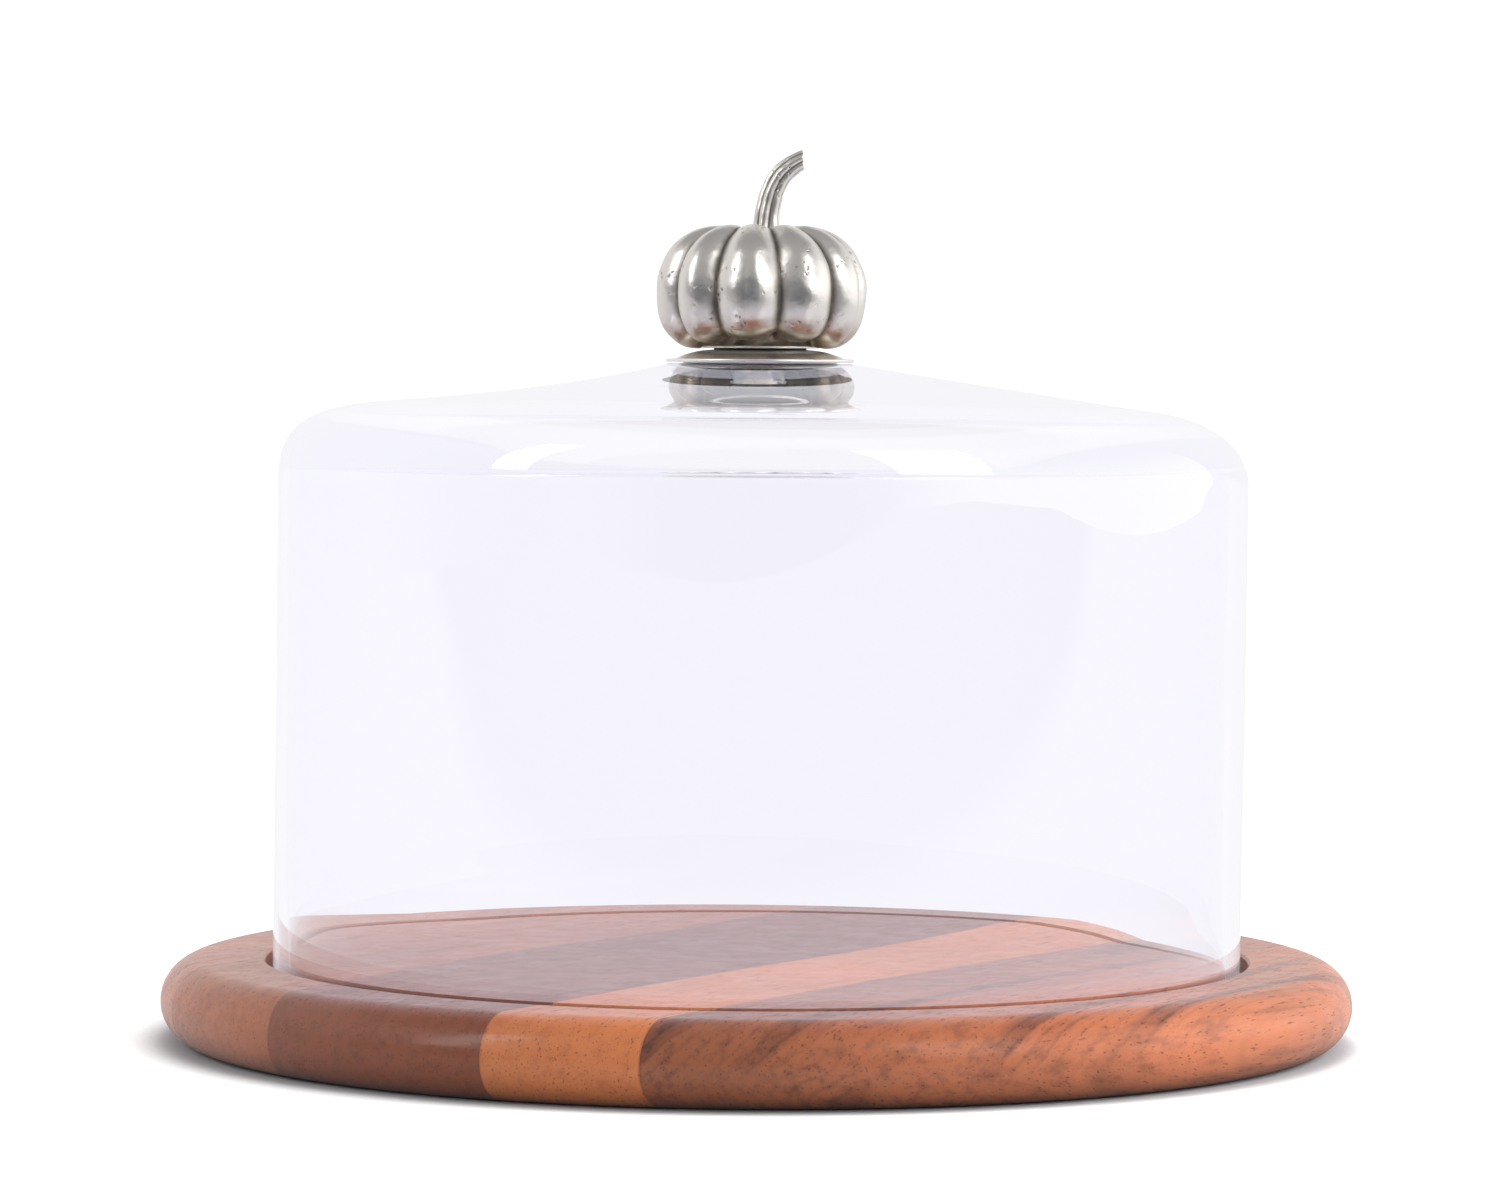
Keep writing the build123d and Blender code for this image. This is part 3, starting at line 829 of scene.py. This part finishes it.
def steel_material():
    """Bright steel with fine turning marks."""
    shader = Shader("turned_steel")
    place = shader.add("TexCoord").outputs["Object"]
    radius = shader.vector_math("LENGTH", shader.vector_math("MULTIPLY", place, (1.0, 1.0, 0.0)))
    mark_spacing = 0.00025
    marks = shader.math("SINE", shader.math("MULTIPLY", radius, 2 * pi / mark_spacing))
    cloudy = shader.noise(place, 400.0, 3.0)
    surface = shader.add(
        "BsdfPrincipled",
        Base_Color=shader.mix(cloudy, rgb(168, 168, 170), rgb(196, 196, 198)),
        Metallic=1.0,
        Roughness=shader.remap(cloudy, 0.3, 0.7, 0.2, 0.34, False),
        Normal=shader.bump(marks, 0.00003, 0.3),
    )
    return shader.finish(surface.outputs[0])


def soft_material(name, pale, dark, roughness, clear=0.0):
    """Rubber or nylon: matte, slightly mottled, faintly pebbled; clear is the share of light that enters."""
    shader = Shader(name)
    spread = 0.06
    place = shader.add("TexCoord").outputs["Object"]
    mottle = shader.noise(place, 300.0, 3.0)
    pebbles = shader.noise(place, 2600.0, 2.0)
    surface = shader.add(
        "BsdfPrincipled",
        Base_Color=shader.mix(mottle, rgb(*pale), rgb(*dark)),
        Roughness=shader.remap(mottle, 0.3, 0.7, roughness - spread, roughness + spread, False),
        Subsurface_Weight=clear,
        Subsurface_Radius=(0.002, 0.002, 0.002),
        Normal=shader.bump(pebbles, 0.00004, 0.4),
    )
    return shader.finish(surface.outputs[0])


def dress_fixings():
    """Materials for the gaskets, bush, washer and screw, which keep their CAD mesh."""
    nodes = frame["nodes"]
    silicone = soft_material("clear_silicone", (226, 228, 232), (206, 208, 214), 0.42, 0.5)
    nylon = soft_material("natural_nylon", (236, 232, 220), (222, 217, 203), 0.5, 0.3)
    rubber = soft_material("dark_rubber", (34, 33, 34), (18, 18, 19), 0.6)
    dress(nodes["upper_gasket"], silicone)
    dress(nodes["centring_bush"], nylon)
    dress(nodes["lower_gasket"], rubber)
    dress(nodes["seat_washer"], rubber)
    dress(nodes["clamp_screw"], steel_material())


# ---------------------------------------------------------------- studio

SWEEP_HALF = 4000.0  # half width of the sheet
SWEEP_FRONT, SWEEP_BACK, SWEEP_TOP = -3500.0, 2600.0, 3200.0
SWEEP_BEND = 900.0  # radius of its upward curve
CONTACT_REACH = 0.07  # metres over which the object darkens the sheet beside it
AHEAD_FADE = (-0.85, -0.50)  # metres in y, between the dark and the bright part of the mirrored sheet
ROOM_WHITE = (0.93, 0.93, 0.94, 1.0)
ROOM_DARK = (0.13, 0.135, 0.15, 1.0)


def sweep_mesh():
    """Flat floor that curves up into a backdrop far behind."""
    line = join(
        [(SWEEP_FRONT, 0.0), (SWEEP_BACK, 0.0)],
        arc((SWEEP_BACK, SWEEP_BEND), SWEEP_BEND, -90, 0, 24),
        [(SWEEP_BACK + SWEEP_BEND, SWEEP_TOP)],
    )
    vertices = [(x * MM, y * MM, z * MM) for y, z in line for x in (-SWEEP_HALF, SWEEP_HALF)]
    faces = [(2 * k, 2 * k + 1, 2 * k + 3, 2 * k + 2) for k in range(len(line) - 1)]
    mesh = bpy.data.meshes.new("sweep")
    mesh.from_pydata(vertices, [], faces)
    mesh.shade_smooth()
    return mesh


def sweep_material():
    """White paper with a painted soft contact shadow. Mirrored in metal and glass it shows as a painted
    glow: a painted reflection of a studio, dark well in front and darkened by the contact shadow; bent by
    glass it glows plain white."""
    shader = Shader("sweep_paper")
    place = shader.add("TexCoord").outputs["Object"]
    fibre = shader.noise(place, 900.0, 3.0)
    paper = shader.mix(fibre, rgb(248, 248, 249), rgb(252, 252, 252))
    open_share = shader.add("AmbientOcclusion", {"samples": 8}, Distance=CONTACT_REACH).outputs["AO"]
    surface = shader.add(
        "BsdfPrincipled",
        Base_Color=shader.mix(shader.remap(open_share, 0.35, 0.95), rgb(150, 150, 153), paper),
        Roughness=0.85,
        Specular_IOR_Level=0.2,
        Normal=shader.bump(fibre, 0.00005, 0.2),
    )
    # Painted glow for mirrored and bent rays: a painted reflection of a studio, dark in front.
    ray = shader.add("LightPath")
    bent = shader.math("GREATER_THAN", ray.outputs["Transmission Depth"], 0.5)
    ahead = shader.remap(shader.add("SeparateXYZ", Vector=place).outputs["Y"], *AHEAD_FADE, 1.0, 0.0)
    mirrored = shader.mix(ahead, ROOM_WHITE, ROOM_DARK)
    seen = shader.mix(bent, mirrored, (1.04, 1.04, 1.04, 1.0))
    glow = shader.mix(open_share, (0.0, 0.0, 0.0, 1.0), seen)
    either = shader.math("MAXIMUM", bent, ray.outputs["Is Glossy Ray"])
    mixed = shader.add("MixShader", Fac=either)
    shader.feed(mixed.inputs[1], surface.outputs[0])
    shader.feed(mixed.inputs[2], shader.add("Emission", Color=glow).outputs[0])
    return shader.finish(mixed.outputs[0])


def make_floor():
    """Pale sweep under and behind the object."""
    made = bpy.data.objects.new("sweep", sweep_mesh())
    bpy.context.scene.collection.objects.link(made)
    dress(made, sweep_material())


def room_colour(nodes, way):
    """What metal mirrors: white behind, grey overhead and above the camera, dark low in front, and one
    bright patch to the right."""
    front = nodes.remap(way.outputs["Y"], -0.55, 0.25, 1.0, 0.0)
    low = nodes.remap(way.outputs["Z"], 0.02, 0.45, 1.0, 0.0)
    front_colour = nodes.mix(low, (0.46, 0.46, 0.47, 1.0), (0.13, 0.14, 0.16, 1.0))
    ceiling = nodes.remap(way.outputs["Z"], 0.68, 0.80)
    behind = nodes.mix(ceiling, ROOM_WHITE, (0.40, 0.40, 0.41, 1.0))
    right = nodes.remap(way.outputs["X"], 0.45, 0.85)
    patch = nodes.math("MULTIPLY", right, nodes.remap(way.outputs["Z"], 0.25, 0.60, 1.0, 0.0))
    return nodes.mix(patch, nodes.mix(front, behind, front_colour), (1.6, 1.6, 1.6, 1.0))


def make_world():
    """Studio surround. It shines white; bent by glass it is white too, but grey towards the camera."""
    world = bpy.data.worlds.new("studio")
    world.use_nodes = True
    bpy.context.scene.world = world
    nodes = Nodes(world.node_tree)
    way = nodes.add("SeparateXYZ", Vector=nodes.add("TexCoord").outputs["Generated"])
    ray = nodes.add("LightPath")
    towards_camera = nodes.remap(way.outputs["Y"], -1.0, -0.75, 1.0, 0.0)
    through = nodes.mix(towards_camera, (1.0, 1.0, 1.0, 1.0), (0.35, 0.35, 0.37, 1.0))
    unbent = nodes.math("LESS_THAN", ray.outputs["Transmission Depth"], 0.5)
    mirrored = nodes.math("MULTIPLY", ray.outputs["Is Glossy Ray"], unbent)
    seen = nodes.mix(mirrored, through, room_colour(nodes, way))
    lit = nodes.mix(ray.outputs["Is Diffuse Ray"], seen, (1.0, 1.0, 1.0, 1.0))
    background = nodes.add("Background", Color=lit, Strength=1.0)
    nodes.add("OutputWorld", Surface=background.outputs[0])


def make_light(name, place, target, width, height, power):
    """Soft box at a place in metres, aimed at a target."""
    data = bpy.data.lights.new(name, "AREA")
    data.shape = "RECTANGLE"
    data.size, data.size_y = width, height
    data.energy = power
    made = bpy.data.objects.new(name, data)
    made.location = place
    made.rotation_euler = (Vector(target) - Vector(place)).to_track_quat("-Z", "Y").to_euler()
    bpy.context.scene.collection.objects.link(made)
    return made


def make_lights():
    """Tall narrow soft box on the left, a broad one on the right, and fills that no metal or glass shows."""
    knob, board = (0.0, 0.0, 0.15), (0.0, 0.0, 0.02)
    make_light("left_box", (-1.50, -0.85, 1.25), knob, 0.35, 1.3, 9.0)
    make_light("right_box", (1.25, -1.35, 1.35), knob, 0.9, 1.4, 12.0)
    fills = (
        make_light("top_fill", (0.0, 0.5, 2.4), knob, 1.8, 1.4, 9.0),
        make_light("right_fill", (1.55, 0.10, 0.75), board, 1.2, 1.2, 60.0),
        make_light("left_fill", (-1.60, 0.10, 0.75), board, 1.2, 1.2, 14.0),
    )
    for fill in fills:
        fill.visible_glossy = False
        fill.visible_transmission = False


CAMERA_PLACE = (-0.0026, -1.735, 0.2041)  # metres
CAMERA_DIP, CAMERA_ROLL = radians(2.404), radians(0.34)
CAMERA_LENS, CAMERA_SENSOR = 139.44, 36.0


def make_camera():
    """Long lens in front of the object, level with the plate under the knob."""
    data = bpy.data.cameras.new("camera")
    data.sensor_width = CAMERA_SENSOR
    data.lens = CAMERA_LENS
    data.clip_start, data.clip_end = 0.05, 50.0
    made = bpy.data.objects.new("camera", data)
    made.location = CAMERA_PLACE
    made.rotation_mode = "XYZ"
    made.rotation_euler = (pi / 2 - CAMERA_DIP, 0.0, 0.0)
    made.rotation_euler.rotate_axis("Z", CAMERA_ROLL)
    bpy.context.scene.collection.objects.link(made)
    bpy.context.scene.camera = made
    bpy.context.scene.view_settings.view_transform = "Standard"


def set_light_paths():
    """Enough bounces for light that runs along inside the glass."""
    cycles = bpy.context.scene.cycles
    cycles.max_bounces = 32
    cycles.glossy_bounces = 24
    cycles.transmission_bounces = 32
    cycles.transparent_max_bounces = 16


dress_board()
make_glass()
make_pewter()
dress_fixings()
make_floor()
make_world()
make_lights()
make_camera()
set_light_paths()
